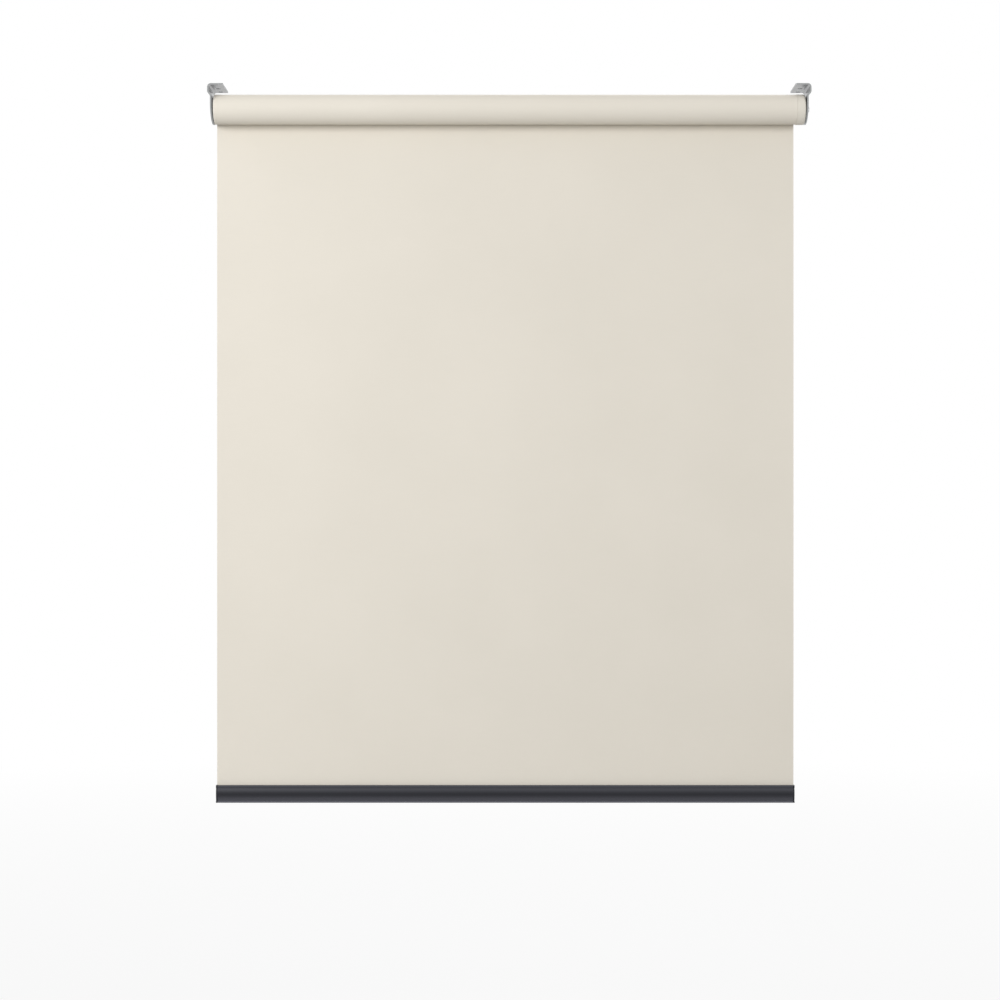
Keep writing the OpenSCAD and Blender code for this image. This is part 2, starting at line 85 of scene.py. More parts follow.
class Slot(Enum):
    """Material slots of the record for the new pieces."""

    FABRIC = "blackout_fabric"
    SPRING = "spring_steel"


class Face(Enum):
    """The two faces of the cloth, as numbers of its finishes."""

    WOVEN = 0
    COATED = 1


class Coordinates(Enum):
    """Coordinates that a finish can follow."""

    OBJECT = "Object"
    CUT = "UV"


class Kind(Enum):
    """Kinds of sockets on a shared effect."""

    VALUE = "NodeSocketFloat"
    VECTOR = "NodeSocketVector"


# Meshes


@dataclass
class Surface:
    """A mesh in the making.

    Attributes:
        points: One row of x, y, z for each corner point.
        faces: Corner numbers of each face, turned so that the face looks outwards.
        uv: One row of u, v in metres for each point.
        finish: Number of the finish on each face.
        sharp: Angle in degrees from which the edge between two faces is sharp.
    """

    points: Reals
    faces: list[list[int]]
    uv: Reals
    finish: Whole
    sharp: float = 40.0

    def piece(self, name: str, finishes: list[bpy.types.Material]) -> bpy.types.Object:
        """Makes the object, at the origin, with smooth faces, sharp rims and its map.

        Args:
            name: Name of the piece.
            finishes: Materials, in the order of the finish numbers.

        Returns:
            The new object, linked to the scene.
        """
        mesh = bpy.data.meshes.new(name)
        mesh.from_pydata(self.points.tolist(), [], self.faces)
        for finish in finishes:
            mesh.materials.append(finish)
        mesh.polygons.foreach_set("material_index", self.finish.astype(np.int32))
        mesh.polygons.foreach_set("use_smooth", np.ones(len(self.faces), bool))
        corner = np.zeros(len(mesh.loops), np.int32)
        mesh.loops.foreach_get("vertex_index", corner)
        layer = mesh.uv_layers.new(name="cut")
        layer.data.foreach_set("uv", self.uv[corner].astype(np.float32).ravel())
        mesh.update()
        mesh.set_sharp_from_angle(angle=math.radians(self.sharp))
        made = bpy.data.objects.new(name, mesh)
        bpy.context.scene.collection.objects.link(made)
        return made


def lattice(rows: int, cols: int) -> Whole:
    """Four-sided faces of a grid of points, counted row by row.

    A face looks along the column step crossed with the row step.

    Args:
        rows: Rows of points.
        cols: Points in a row.

    Returns:
        One row of four corner numbers for each face.
    """
    at = np.arange(rows * cols).reshape(rows, cols)
    return np.stack([at[:-1, :-1], at[:-1, 1:], at[1:, 1:], at[1:, :-1]], -1).reshape(-1, 4)


def shell(front: Reals, back: Reals, uv: Reals) -> Surface:
    """Closes two grids of one size into a thin shell.

    The front keeps the lattice's faces, the back has them turned round, and a ribbon of
    faces follows the rim from the first row round to the first column.

    Args:
        front: Points of the woven face, as rows by columns by 3.
        back: Points of the coated face, each behind its point of the front.
        uv: Map of both faces, as rows by columns by 2.

    Returns:
        The closed shell, whose rim has the finish of the back.
    """
    rows, cols = front.shape[:2]
    count = rows * cols
    face = lattice(rows, cols)
    at = np.arange(count).reshape(rows, cols)
    rim = np.concatenate([at[0, :-1], at[:-1, -1], at[-1, :0:-1], at[:0:-1, 0]])
    after = np.roll(rim, -1)
    ribbon = np.stack([rim, rim + count, after + count, after], -1)
    faces = np.concatenate([face, face[:, ::-1] + count, ribbon])
    finish = np.full(len(faces), Face.COATED.value)
    finish[: len(face)] = Face.WOVEN.value
    flat = uv.reshape(-1, 2)
    return Surface(
        np.concatenate([front.reshape(-1, 3), back.reshape(-1, 3)]),
        faces.tolist(),
        np.concatenate([flat, flat]),
        finish,
    )


def settle(piece: bpy.types.Object, body: Body, slot: Slot, *nodes: str) -> bpy.types.Object:
    """Lets a piece ride on a body and stand for solids.

    Args:
        piece: The finished piece.
        body: Body that it moves with.
        slot: Material slot of the record; not used.
        *nodes: Solids that it stands for.

    Returns:
        The same piece.
    """
    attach(piece, body.value)
    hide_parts(*nodes)
    log.info("%s: %d faces, rides on %s", piece.name, len(piece.data.polygons), body.value)
    return piece


def dress(finish: bpy.types.Material, *nodes: str) -> None:
    """Gives solids their finish.

    Args:
        finish: The material.
        *nodes: Names of the solids.
    """
    for name in nodes:
        kept = frame["nodes"][name].data.materials
        kept.clear()
        kept.append(finish)
        log.info("%s: %s", name, finish.name)


def joint(name: str) -> dict[str, Any]:
    """The joint of that name, as the record states it."""
    return next(entry for entry in frame["joints"] if entry["name"] == name)


def ease(low: float, high: float, value: Reals) -> Reals:
    """Rises smoothly from 0 at low to 1 at high, as 3 t^2 - 2 t^3."""
    t = np.clip((value - low) / (high - low), 0.0, 1.0)
    return t * t * (3.0 - 2.0 * t)


# Shader wiring


# The Mix node repeats its sockets' names, so its colours are taken by number.
MIX_FIRST, MIX_SECOND, MIX_RESULT = 6, 7, 2


class Wiring:
    """Short calls that add and link the nodes of one node tree."""

    def __init__(self, tree: bpy.types.NodeTree) -> None:
        """Keeps the tree that the nodes go into."""
        self.tree = tree

    def add(
        self, kind: str, inputs: dict[str | int, Value] | None = None, **settings: Any
    ) -> bpy.types.Node:
        """Adds a node.

        Args:
            kind: Blender's name of the node's type.
            inputs: Sockets to link, or values to set on the node's own inputs.
            **settings: Properties of the node.

        Returns:
            The new node.
        """
        made = self.tree.nodes.new(kind)
        for name, value in settings.items():
            setattr(made, name, value)
        for name, value in (inputs or {}).items():
            self.put(made.inputs[name], value)
        return made

    def put(self, socket: Socket, value: Value) -> None:
        """Links a socket to another one, or sets its own value.

        Args:
            socket: Input that is fed.
            value: Output that feeds it, or a plain value.
        """
        if isinstance(value, Socket):
            self.tree.links.new(value, socket)
        else:
            socket.default_value = value

    def math(self, operation: str, *values: Value) -> Socket:
        """Result of one step of arithmetic on one to three values."""
        return self.add("ShaderNodeMath", dict(enumerate(values)), operation=operation).outputs[0]

    def mix(self, share: Value, first: Value, second: Value) -> Socket:
        """Mixes two colours.

        Args:
            share: Share of the second colour, from 0 to 1.
            first: Colour at a share of 0.
            second: Colour at a share of 1.

        Returns:
            The mixed colour.
        """
        made = self.add("ShaderNodeMix", {0: share}, data_type="RGBA")
        for number, colour in ((MIX_FIRST, first), (MIX_SECOND, second)):
            self.put(made.inputs[number], (*colour, 1.0) if isinstance(colour, tuple) else colour)
        return made.outputs[MIX_RESULT]

    def spread(self, value: Value, to: Pair, source: Pair = (0.0, 1.0), eased: bool = False) -> Socket:
        """Carries a value over from one range to another, and holds it at the ends.

        Args:
            value: Value to carry over.
            to: Results at the two ends of the source range.
            source: Range of the value.
            eased: Whether it rises as 3 t^2 - 2 t^3, and not in a straight line.

        Returns:
            The result.
        """
        ends = {"From Min": source[0], "From Max": source[1], "To Min": to[0], "To Max": to[1]}
        curve = "SMOOTHSTEP" if eased else "LINEAR"
        made = self.add("ShaderNodeMapRange", {"Value": value, **ends}, interpolation_type=curve)
        return made.outputs[0]

    def place(self, kind: Coordinates) -> Socket:
        """Place on the surface, in those coordinates."""
        return self.add("ShaderNodeTexCoord").outputs[kind.value]

    def split(self, place: Value) -> tuple[Socket, Socket, Socket]:
        """The x, y and z of a place."""
        return tuple(self.add("ShaderNodeSeparateXYZ", {0: place}).outputs)

    def effect(self, group: bpy.types.NodeTree, **inputs: Value) -> bpy.types.Node:
        """Places a shared effect, with its own values."""
        return self.add("ShaderNodeGroup", dict(inputs), node_tree=group)


def new_effect(name: str, takes: dict[str, Kind], gives: str) -> tuple[Wiring, Sockets, Socket]:
    """Starts a shared effect as a node group.

    Args:
        name: Name of the group.
        takes: Kind of socket of each named input.
        gives: Name of the value that it gives.

    Returns:
        The group's wiring, its inputs by name, and the socket that its result goes to.
    """
    tree = bpy.data.node_groups.new(name, "ShaderNodeTree")
    for label, kind in takes.items():
        tree.interface.new_socket(name=label, in_out="INPUT", socket_type=kind.value)
    tree.interface.new_socket(name=gives, in_out="OUTPUT", socket_type=Kind.VALUE.value)
    wiring = Wiring(tree)
    source, target = wiring.add("NodeGroupInput"), wiring.add("NodeGroupOutput")
    return wiring, {label: source.outputs[label] for label in takes}, target.inputs[gives]


@lru_cache(maxsize=None)
def weave() -> bpy.types.NodeTree:
    """Plain weave on a map in metres.

    Each thread is half a sine across its pitch, it dips at each crossing, and the
    threads of the two directions take turns on top, as on a chess board.

    Returns:
        The group, which gives the height of the threads from 0 to 1.
    """
    dip = 0.45
    kinds = {"Map": Kind.VECTOR, "Pitch": Kind.VALUE}
    w, takes, height = new_effect("plain_weave", kinds, "Height")
    across, along = (w.math("DIVIDE", part, takes["Pitch"]) for part in w.split(takes["Map"])[:2])
    warp, weft = (
        w.math("SINE", w.math("MULTIPLY", w.math("FRACT", part), math.pi)) for part in (across, along)
    )
    warp_up = w.math("MULTIPLY", warp, w.math("MULTIPLY_ADD", weft, dip, 1 - dip))
    weft_up = w.math("MULTIPLY", weft, w.math("MULTIPLY_ADD", warp, dip, 1 - dip))
    square = w.math("ADD", w.math("FLOOR", across), w.math("FLOOR", along))
    turn = w.math("ABSOLUTE", w.math("MODULO", square, 2.0))
    w.put(height, w.math("MULTIPLY_ADD", turn, w.math("SUBTRACT", warp_up, weft_up), weft_up))
    return w.tree


def fractal_mask(w: Wiring, place: Value, scale: Value, detail: Value) -> Socket:
    """Fractal noise with its middle range spread out to 0 and 1.

    Args:
        w: Wiring of the effect.
        place: Coordinates.
        scale: Grains in a unit of the coordinates.
        detail: Octaves of finer noise on them.

    Returns:
        The mask, from 0 to 1.
    """
    middle = (0.3, 0.7)
    noise = w.add("ShaderNodeTexNoise", {"Vector": place, "Scale": scale, "Detail": detail})
    return w.spread(noise.outputs[0], (0.0, 1.0), middle)


@lru_cache(maxsize=None)
def even_grain() -> bpy.types.NodeTree:
    """Even fractal noise.

    Returns:
        The group, which gives a mask from 0 to 1.
    """
    kinds = {"Place": Kind.VECTOR, "Scale": Kind.VALUE, "Detail": Kind.VALUE}
    w, takes, mask = new_effect("grain", kinds, "Mask")
    w.put(mask, fractal_mask(w, takes["Place"], takes["Scale"], takes["Detail"]))
    return w.tree


@lru_cache(maxsize=None)
def stretched_grain() -> bpy.types.NodeTree:
    """Fractal noise with a scale of its own along each axis.

    Returns:
        The group, which gives a mask from 0 to 1.
    """
    detail = 3.0
    kinds = {"Place": Kind.VECTOR, "Stretch": Kind.VECTOR}
    w, takes, mask = new_effect("drawn_lines", kinds, "Mask")
    scaled = w.add("ShaderNodeVectorMath", {0: takes["Place"], 1: takes["Stretch"]}, operation="MULTIPLY")
    w.put(mask, fractal_mask(w, scaled.outputs[0], 1.0, detail))
    return w.tree


@dataclass(frozen=True)
class Grain:
    """Even fine grain, such as a moulded skin, a coat's orange peel or uneven dye.

    Attributes:
        scale: Grains in a metre.
        detail: Octaves of finer noise on them.
    """

    scale: float
    detail: float

    def mask(self, w: Wiring, place: Value) -> Socket:
        """Mask of the grain, from 0 to 1."""
        return w.effect(even_grain(), Place=place, Scale=self.scale, Detail=self.detail).outputs["Mask"]


@dataclass(frozen=True)
class Lines:
    """Fine lines left by drawing, rolling, extruding or spinning.

    Attributes:
        stretch: Grains in a metre along each axis, few of them along the lines.
    """

    stretch: Point

    def mask(self, w: Wiring, place: Value) -> Socket:
        """Mask of the lines, from 0 to 1."""
        return w.effect(stretched_grain(), Place=place, Stretch=self.stretch).outputs["Mask"]


# Finishes


@dataclass(frozen=True)
class Finish:
    """What every finish shares.

    Attributes:
        name: Name of the material.
        tone: Main colour.
        second: Colour that it varies towards.
        rough: Lowest and highest roughness.
        depth: Depth of the relief.
        shown: Share of the relief that shows.
        shine: Specular level.
        metal: Share of the light that it mirrors as a metal does.
    """

    name: str
    tone: Colour
    second: Colour
    rough: Pair
    depth: float = 0.00002
    shown: float = 0.3
    shine: float = 0.5
    metal: float = 0.0

    def material(self) -> bpy.types.Material:
        """Builds the material.

        Returns:
            The material, with what is the same all over on the shader's own sockets.
        """
        made = bpy.data.materials.new(self.name)
        made.use_nodes = True
        shader = made.node_tree.nodes["Principled BSDF"]
        shader.inputs["Specular IOR Level"].default_value = self.shine
        shader.inputs["Metallic"].default_value = self.metal
        self.paint(Wiring(made.node_tree), shader)
        return made

    def paint(self, w: Wiring, shader: bpy.types.Node) -> None:
        """Wires colour, roughness and relief to the shader; each finish has its own."""
        raise NotImplementedError

    def relief(self, w: Wiring, shader: bpy.types.Node, height: Value) -> None:
        """Gives the shader a bumpy surface.

        Args:
            w: Wiring of the material.
            shader: Its shader.
            height: Height from 0 to 1.
        """
        bump = w.add("ShaderNodeBump", {"Strength": self.shown, "Distance": self.depth, "Height": height})
        w.put(shader.inputs["Normal"], bump.outputs["Normal"])


@dataclass(frozen=True)
class Cloth(Finish):
    """Matt blackout cloth, with threads that show close up and a faint unevenness of the dye.

    Attributes:
        width: Width of the cloth, whose two cut edges are a little paler.
        pitch: Distance between threads.
        dye: Clouds of the dye.
        slub: Uneven threads across the cloth.
        slub_share: Share of the threads in the unevenness.
        gap_shade_share: Share of the second colour painted between the threads as shade.
        edge: Colour of the cut edges.
        edge_band: Distances from a cut edge between which its colour fades out.
        edge_share: Share of that colour at the edge.
        sheen: Strength of the sheen.
        sheen_rough: Roughness of the sheen.
    """

    depth: float = 0.00003
    shine: float = 0.25
    width: float = 0.58
    pitch: float = 0.0004
    dye: Grain = Grain(9.0, 3.0)
    slub: Lines = Lines((40.0, 1500.0, 1.0))
    slub_share: float = 0.3
    gap_shade_share: float = 0.12
    edge: Colour = (0.83, 0.79, 0.71)
    edge_band: Pair = (0.0004, 0.0012)
    edge_share: float = 0.6
    sheen: float = 0.08
    sheen_rough: float = 0.5

    def paint(self, w: Wiring, shader: bpy.types.Node) -> None:
        """Lets dye, threads, painted shade between the threads and pale edges follow the cloth's own map.

        Args:
            w: Wiring of the material.
            shader: Its shader.
        """
        cut = w.place(Coordinates.CUT)
        thread = w.effect(weave(), Map=cut, Pitch=self.pitch).outputs["Height"]
        clouds = w.math("MULTIPLY", self.dye.mask(w, cut), 1 - self.slub_share)
        uneven = w.math("MULTIPLY_ADD", self.slub.mask(w, cut), self.slub_share, clouds)
        body = w.mix(uneven, self.tone, self.second)
        # Painted shade: the colour darkens between the threads.
        gap_shaded = w.mix(w.spread(thread, (self.gap_shade_share, 0.0)), body, self.second)
        across = w.split(cut)[0]
        inside = w.math("MINIMUM", across, w.math("SUBTRACT", self.width, across))
        pale = w.spread(inside, (self.edge_share, 0.0), self.edge_band)
        w.put(shader.inputs["Base Color"], w.mix(pale, gap_shaded, self.edge))
        w.put(shader.inputs["Roughness"], w.spread(thread, self.rough[::-1]))
        shader.inputs["Sheen Weight"].default_value = self.sheen
        shader.inputs["Sheen Roughness"].default_value = self.sheen_rough
        self.relief(w, shader, thread)


@dataclass(frozen=True)
class PlatedSheet(Finish):
    """Dull grey plate on rolled steel, with a cloudy tint and a smoother sheared rim.

    Attributes:
        middle: y of the middle of the outline.
        foot: z of the middle of its round foot.
        half: Half the depth of the outline, less the depth of the rim.
        rim: Colour of the sheared rim.
        rim_share: Roughness of the rim, as a share of the plate's.
        clouds: Clouds of the tint.
        rolling: Lines that the rolls left.
    """

    depth: float = 0.000003
    shown: float = 0.4
    metal: float = 0.6
    middle: float = 0.0
    foot: float = 0.0
    half: float = 1.0
    rim: Colour = (0.36, 0.37, 0.37)
    rim_share: float = 0.4
    clouds: Grain = Grain(160.0, 4.0)
    rolling: Lines = Lines((2500.0, 2500.0, 60.0))

    def sheared(self, w: Wiring, at: Value) -> Socket:
        """Finds the rim, where hypot(y - middle, min(z - foot, 0)) is over the half depth.

        Args:
            w: Wiring of the material.
            at: Place on the bracket.

        Returns:
            Mask of the rim.
        """
        _, y, z = w.split(at)
        aside = w.math("SUBTRACT", y, self.middle)
        below = w.math("MINIMUM", w.math("SUBTRACT", z, self.foot), 0.0)
        square = w.math("MULTIPLY_ADD", aside, aside, w.math("MULTIPLY", below, below))
        return w.math("GREATER_THAN", square, self.half**2)

    def paint(self, w: Wiring, shader: bpy.types.Node) -> None:
        """Lets clouds tint the plate and rolling lines change its gloss, and bares the rim.

        Args:
            w: Wiring of the material.
            shader: Its shader.
        """
        at = w.place(Coordinates.OBJECT)
        lines = self.rolling.mask(w, at)
        bare = self.sheared(w, at)
        plate = w.mix(self.clouds.mask(w, at), self.tone, self.second)
        w.put(shader.inputs["Base Color"], w.mix(bare, plate, self.rim))
        gloss = w.math("MULTIPLY", w.spread(lines, self.rough), w.spread(bare, (1.0, self.rim_share)))
        w.put(shader.inputs["Roughness"], gloss)
        self.relief(w, shader, lines)


@dataclass(frozen=True)
class DrawnMetal(Finish):
    """Bare metal drawn or extruded along X: tubes, pins and wire.

    Attributes:
        drawing: Lines along X.
    """

    depth: float = 0.00001
    metal: float = 1.0
    drawing: Lines = Lines((25.0, 2200.0, 2200.0))

    def paint(self, w: Wiring, shader: bpy.types.Node) -> None:
        """Lets the lines change tint and gloss.

        Args:
            w: Wiring of the material.
            shader: Its shader.
        """
        lines = self.drawing.mask(w, w.place(Coordinates.OBJECT))
        w.put(shader.inputs["Base Color"], w.mix(lines, self.tone, self.second))
        w.put(shader.inputs["Roughness"], w.spread(lines, self.rough))
        self.relief(w, shader, lines)


@dataclass(frozen=True)
class CoatedBar(Finish):
    """Satin powder coat on the extruded bar: orange peel, faint extrusion lines and painted highlights on
    the lips.

    Its colour is darkest along the middle of the crowned front and is painted paler towards both lips, a
    painted highlight that stands for reflections.

    Attributes:
        under: Height of the bar's underside.
        top: Height of its top.
        low_lip: Height of the lower lip.
        top_lip: Height of the upper lip.
        dark_line: Height of the darkest line above the underside, where no painted highlight is added.
        lip_highlight: Colour of the painted highlight, in full on the lower lip.
        low_highlight_share: Share of the painted highlight just above the lower lip.
        top_highlight_share: Share of the painted highlight on the upper lip.
        peel: Orange peel of the coat.
        extrusion: Lines that the die left.
    """

    shine: float = 0.2
    under: float = 0.0
    top: float = 1.0
    low_lip: float = 0.0018
    top_lip: float = 0.0024
    dark_line: float = 0.0085
    # Colour of the painted highlight on the bar's lips.
    lip_highlight: Colour = (0.105, 0.106, 0.125)
    low_highlight_share: float = 0.65
    top_highlight_share: float = 0.5
    peel: Grain = Grain(1600.0, 2.0)
    extrusion: Lines = Lines((6.0, 900.0, 900.0))

    def painted_highlight(self, w: Wiring, at: Value) -> Socket:
        """Eases a painted highlight up from the dark line towards both lips, in full on the lower lip.

        Args:
            w: Wiring of the material.
            at: Place on the bar.

        Returns:
            Share of the painted highlight.
        """
        z = w.split(at)[2]
        dark = self.under + self.dark_line
        low = self.under + self.low_lip
        high = self.top - self.top_lip
        lower = w.spread(z, (0.0, self.low_highlight_share), (dark, low), eased=True)
        upper = w.spread(z, (0.0, self.top_highlight_share), (dark, high), eased=True)
        return w.math("MAXIMUM", w.math("LESS_THAN", z, low), w.math("MAXIMUM", lower, upper))

    def paint(self, w: Wiring, shader: bpy.types.Node) -> None:
        """Lets peel give relief and gloss and extrusion lines shade the colour, and paints highlights on
        the lips.

        Args:
            w: Wiring of the material.
            shader: Its shader.
        """
        at = w.place(Coordinates.OBJECT)
        peel = self.peel.mask(w, at)
        body = w.mix(self.extrusion.mask(w, at), self.tone, self.second)
        # Painted highlight: the colour pales from the dark line towards both lips.
        w.put(shader.inputs["Base Color"], w.mix(self.painted_highlight(w, at), body, self.lip_highlight))
        w.put(shader.inputs["Roughness"], w.spread(peel, self.rough))
        self.relief(w, shader, peel)


@dataclass(frozen=True)
class Moulding(Finish):
    """Moulded plastic with a fine spark-eroded skin.

    Attributes:
        skin: Grain of the skin.
        flow: Clouds that the flow of the melt left.
    """

    shown: float = 0.35
    shine: float = 0.4
    skin: Grain = Grain(2600.0, 3.0)
    flow: Grain = Grain(70.0, 2.0)

    def paint(self, w: Wiring, shader: bpy.types.Node) -> None:
        """Lets the skin give relief and gloss, and the flow shade the colour.

        Args:
            w: Wiring of the material.
            shader: Its shader.
        """
        at = w.place(Coordinates.OBJECT)
        skin = self.skin.mask(w, at)
        w.put(shader.inputs["Base Color"], w.mix(self.flow.mask(w, at), self.tone, self.second))
        w.put(shader.inputs["Roughness"], w.spread(skin, self.rough))
        self.relief(w, shader, skin)


# Sub-assemblies


@dataclass(frozen=True)
class Wave:
    """One slow wave of the hanging cloth.

    Attributes:
        across: Waves over the width.
        up: Waves over the length.
        phase: Where it starts, in radians.
        share: Its height, as a share of the sway.
    """

    across: float
    up: float
    phase: float
    share: float

    def height(self, s: Reals, t: Reals) -> Reals:
        """Height share * sin(2 pi (across s + up t) + phase), with s and t from 0 to 1."""
        return self.share * np.sin(2 * math.pi * (self.across * s + self.up * t) + self.phase)


@dataclass
class Fabric:
    """The blackout cloth: one turn on the roller and the drop down into the bar.

    Attributes:
        turn_step: Growth of the roll's radius in one turn.
        edge_curl: How far the side edges curl towards the room.
        curl_width: Width of that curl.
        sway: Height of the faint waves across the cloth.
        waves: Those waves.
        bar_hold: Heights above the cloth's lower end between which it comes loose from the bar.
        roll_hold: Distances from its upper end between which it comes loose from the roll.
        columns: Points across the cloth.
        rows: Points down the drop.
        arc_rows: Points round half a turn.
        tone: Main colour.
        second: Colour that it varies towards.
        woven_rough: Lowest and highest roughness of the woven face.
        coat_rough: Lowest and highest roughness of the coated back.
        coat_depth: Depth of the threads that show through the coat.
        finishes: Finishes of the woven face and of the coated back.
        low: Lowest corner of the drop's solid.
        high: Highest corner of the drop's solid.
        width: Width of the cloth.
        thick: Thickness of the cloth.
        length: Length of the drop.
    """

    turn_step: float = 0.00055
    edge_curl: float = 0.0005
    curl_width: float = 0.010
    sway: float = 0.00025
    waves: tuple[Wave, ...] = (Wave(1.5, 0.3, 0.0, 1.0), Wave(3.5, -0.4, 1.1, 0.6))
    bar_hold: Pair = (0.03, 0.15)
    roll_hold: Pair = (0.02, 0.12)
    columns: int = 97
    rows: int = 121
    arc_rows: int = 97
    tone: Colour = (0.795, 0.748, 0.662)
    second: Colour = (0.765, 0.720, 0.634)
    woven_rough: Pair = (0.78, 0.92)
    coat_rough: Pair = (0.66, 0.80)
    coat_depth: float = 0.00002
    finishes: list[bpy.types.Material] = field(init=False, default_factory=list)
    low: Reals = field(init=False)
    high: Reals = field(init=False)
    width: float = field(init=False)
    thick: float = field(init=False)
    length: float = field(init=False)

    def __post_init__(self) -> None:
        """Reads the cloth's place from the solid of its drop."""
        self.low, self.high = (np.array(corner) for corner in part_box("fabric_drop"))
        self.width, self.thick, self.length = self.high - self.low

    def dye(self) -> None:
        """Makes the finishes of the woven face and of the coated back."""
        tones = (self.tone, self.second)
        woven = Cloth("blackout_weave", *tones, self.woven_rough, width=self.width)
        coat = Cloth("blackout_coat", *tones, self.coat_rough, depth=self.coat_depth, width=self.width)
        self.finishes = [woven.material(), coat.material()]

    def drop(self) -> bpy.types.Object:
        """Hangs the drop.

        With s across and t up, the middle of the cloth stands at the roller's rear tangent
        plus lean(s, t): an exponential curl at the two side edges and two slow waves, both
        eased out to nothing at the roll and at the bar's slot. The two faces lie half a
        thickness before and behind it.

        Returns:
            The piece that stands for the solid of the drop.
        """
        s, t = np.meshgrid(np.linspace(0, 1, self.columns), np.linspace(0, 1, self.rows))
        across, up = s * self.width, t * self.length
        loose = ease(*self.bar_hold, up) * ease(*self.roll_hold, self.length - up)
        waves = self.sway * sum(wave.height(s, t) for wave in self.waves)
        side = np.minimum(across, self.width - across)
        lean = loose * (waves - self.edge_curl * np.exp(-side / self.curl_width))
        middle = (self.low[1] + self.high[1]) / 2 + lean
        x, z = self.low[0] + across, self.low[2] + up
        half = self.thick / 2
        front, back = (np.stack([x, middle + k * half, z], -1) for k in (-1, 1))
        piece = shell(front, back, np.stack([across, up], -1)).piece("blackout_drop", self.finishes)
        settle(piece, Body.BRACKETS, Slot.FABRIC, "fabric_drop")
        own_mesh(piece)
        return piece

    def roll(self) -> bpy.types.Object:
        """Winds the turn that stays on the roller.

        The outer face is two half circles, each a quarter of the turn's step smaller than
        the half before it would be and set over so that they meet: from the rear tangent
        over the top with radius R - step / 4, then back under with R - 3 step / 4, about
        centres that lie step / 4 behind and before the axis. The inner face keeps the
        cloth's thickness from it.

        Returns:
            The piece that stands for the solid of the wound cloth.
        """
        low, high = (np.array(corner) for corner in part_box("fabric_roll"))
        step = self.turn_step
        axis_z = self.low[2] + self.length
        radius = (high[2] - axis_z) + step / 4
        axis_y = self.high[1] - radius
        turn = np.linspace(0, 2 * math.pi, 2 * self.arc_rows - 1)
        over = turn <= math.pi
        centre = axis_y + np.where(over, step / 4, -step / 4)
        outer = radius - np.where(over, step / 4, 3 * step / 4)
        arcs = np.diff(turn) * (outer[1:] - self.thick / 2)
        run = self.length + np.concatenate([[0.0], np.cumsum(arcs)])
        x = np.linspace(low[0], high[0], 2)

        def wall(inset: float) -> Reals:
            """Works out the grid of one face.

            Args:
                inset: Distance inside the outer face.

            Returns:
                The points, as rows by columns by 3.
            """
            y = centre + (outer - inset) * np.cos(turn)
            z = axis_z + (outer - inset) * np.sin(turn)
            return np.stack(np.broadcast_arrays(x[None, :], y[:, None], z[:, None]), -1)

        uv = np.stack(np.broadcast_arrays(x[None, :] - low[0], run[:, None]), -1)
        piece = shell(wall(self.thick), wall(0.0), uv).piece("blackout_roll", self.finishes)
        settle(piece, Body.ROLLER, Slot.FABRIC, "fabric_roll")
        return piece

    def build(self) -> None:
        """Dyes, hangs and winds the cloth."""
        self.dye()
        self.drop()
        self.roll()


@dataclass(frozen=True)
class Coil:
    """A spring of round wire on the roller's axis, which stands for the coarser solid.

    Attributes:
        node: Solid that it stands for.
        wire: Diameter of the wire.
        radius: Radius of the wire's middle.
        turns: Number of turns.
        end: Angle of the wire's last end, from the rear, in degrees.
        flare: How far the wire's tail runs outwards.
        push: Slide joint that shortens the spring towards its far end, if there is one.
        tail: Length of the tail, in turns.
        sides: Points round the wire.
        rings: Rings of points in a turn.
    """

    node: str
    wire: float
    radius: float
    turns: float
    end: float = 0.0
    flare: float = 0.0
    push: str = ""
    tail: float = 1 / 16
    sides: int = 12
    rings: int = 40

    def build(self, axis: Pair, finish: bpy.types.Material) -> bpy.types.Object:
        """Winds the wire.

        A round section, drawn by the angle b, is carried along a helix: with u from 0 to 1
        along the wire, its middle lies at the angle a = end - 360 (1 - u) turns, at the
        radius plus the flare, and as far along X as u of the free length.

        Args:
            axis: y and z of the roller's axis.
            finish: Material of the wire.

        Returns:
            The spring.
        """
        low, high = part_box(self.node)
        count = int(self.turns * self.rings) + 1
        u = np.linspace(0, 1, count)[:, None]
        b = np.linspace(0, 2 * math.pi, self.sides, endpoint=False)[None, :]
        a = math.radians(self.end) - 2 * math.pi * (1 - u) * self.turns
        tail = np.clip(1 - (1 - u) * self.turns / self.tail, 0, 1)
        thick = self.wire / 2
        out = self.radius + self.flare * tail + thick * np.cos(b)
        x = low.x + thick + (high.x - low.x - self.wire) * u + thick * np.sin(b)
        points = np.stack([x, axis[0] + out * np.cos(a), axis[1] + out * np.sin(a)], -1).reshape(-1, 3)
        at = np.arange(count * self.sides).reshape(count, self.sides)
        after = np.roll(at, -1, axis=1)
        wall = np.stack([at[:-1], at[1:], after[1:], after[:-1]], -1).reshape(-1, 4)
        faces = [*wall.tolist(), at[0].tolist(), at[-1, ::-1].tolist()]
        uv = np.stack(np.broadcast_arrays(u, b / (2 * math.pi)), -1).reshape(-1, 2)
        made = Surface(points, faces, uv, np.zeros(len(faces), int)).piece(f"{self.node}_wire", [finish])
        settle(made, Body.ROLLER, Slot.SPRING, self.node)
        if self.push:
            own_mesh(made)
        return made


